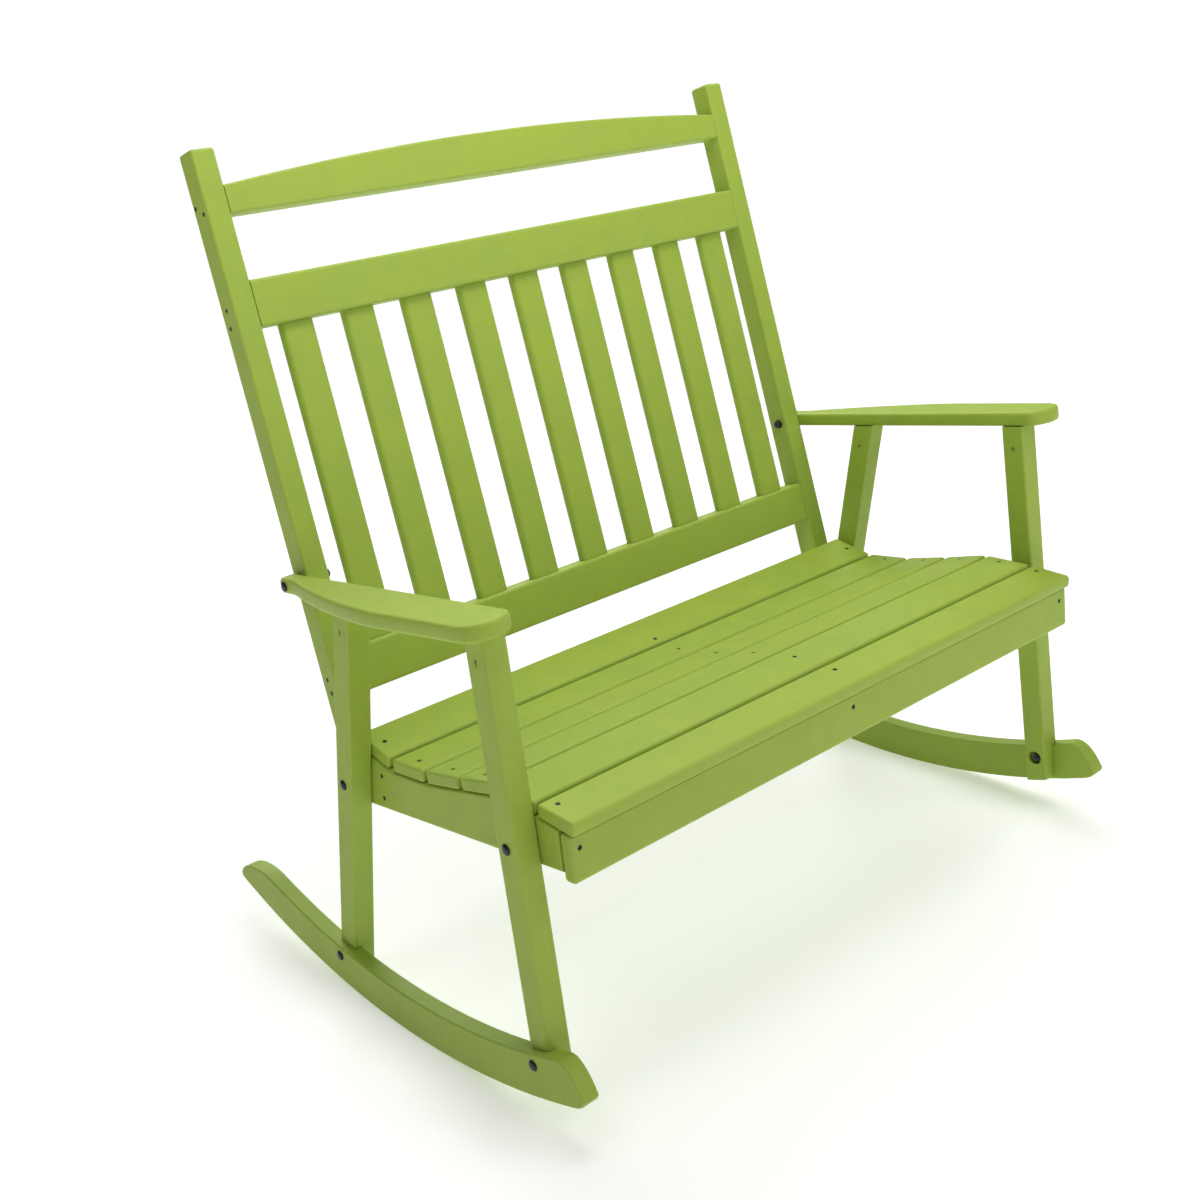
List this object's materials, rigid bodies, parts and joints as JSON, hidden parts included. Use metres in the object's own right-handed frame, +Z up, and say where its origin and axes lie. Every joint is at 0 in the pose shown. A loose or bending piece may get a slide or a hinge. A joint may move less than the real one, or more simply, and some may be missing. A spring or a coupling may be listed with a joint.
{
  "type": "rocking bench",
  "caption": "Two-seat rocking bench with high slatted back, contoured slatted seat, flat arms and curved rockers, in moulded lumber joined by carriage bolts.",
  "frame": {"origin": "on the floor, under the middle of the bench's overall box", "axes": "+Z up, the bench faces -Y, +X runs to the sitter's left"},
  "size_m": [1.2276, 0.863, 1.2511],
  "materials": {
    "lumber": "satin lime green moulded lumber",
    "dark_steel": "satin black coated steel"
  },
  "bodies": {
    "root": {"rocker_left": "lumber", "front_leg_left": "lumber", "back_leg_left": "lumber", "arm_left": "lumber", "back_post_left": "lumber", "side_seat_rail_left": "lumber", "arm_bolt_left": "dark_steel", "arm_nut_left": "dark_steel", "front_rail_bolt_left": "dark_steel", "front_rail_nut_left": "dark_steel", "back_rail_bolt_left": "dark_steel", "back_rail_nut_left": "dark_steel", "front_rocker_bolt_left": "dark_steel", "front_rocker_nut_left": "dark_steel", "back_rocker_bolt_left": "dark_steel", "back_rocker_nut_left": "dark_steel", "rocker_right": "lumber", "front_leg_right": "lumber", "back_leg_right": "lumber", "arm_right": "lumber", "back_post_right": "lumber", "side_seat_rail_right": "lumber", "arm_bolt_right": "dark_steel", "arm_nut_right": "dark_steel", "front_rail_bolt_right": "dark_steel", "front_rail_nut_right": "dark_steel", "back_rail_bolt_right": "dark_steel", "back_rail_nut_right": "dark_steel", "front_rocker_bolt_right": "dark_steel", "front_rocker_nut_right": "dark_steel", "back_rocker_bolt_right": "dark_steel", "back_rocker_nut_right": "dark_steel", "middle_seat_rail": "lumber", "rear_stretcher": "lumber", "front_apron": "lumber", "seat_board_1": "lumber", "seat_board_2": "lumber", "seat_board_3": "lumber", "seat_board_4": "lumber", "seat_board_5": "lumber", "seat_board_6": "lumber", "lower_back_rail": "lumber", "upper_back_rail": "lumber", "crest_rail": "lumber", "back_slat_1": "lumber", "back_slat_2": "lumber", "back_slat_3": "lumber", "back_slat_4": "lumber", "back_slat_5": "lumber", "back_slat_6": "lumber", "back_slat_7": "lumber", "back_slat_8": "lumber", "back_slat_9": "lumber"}
  },
  "joints": []
}
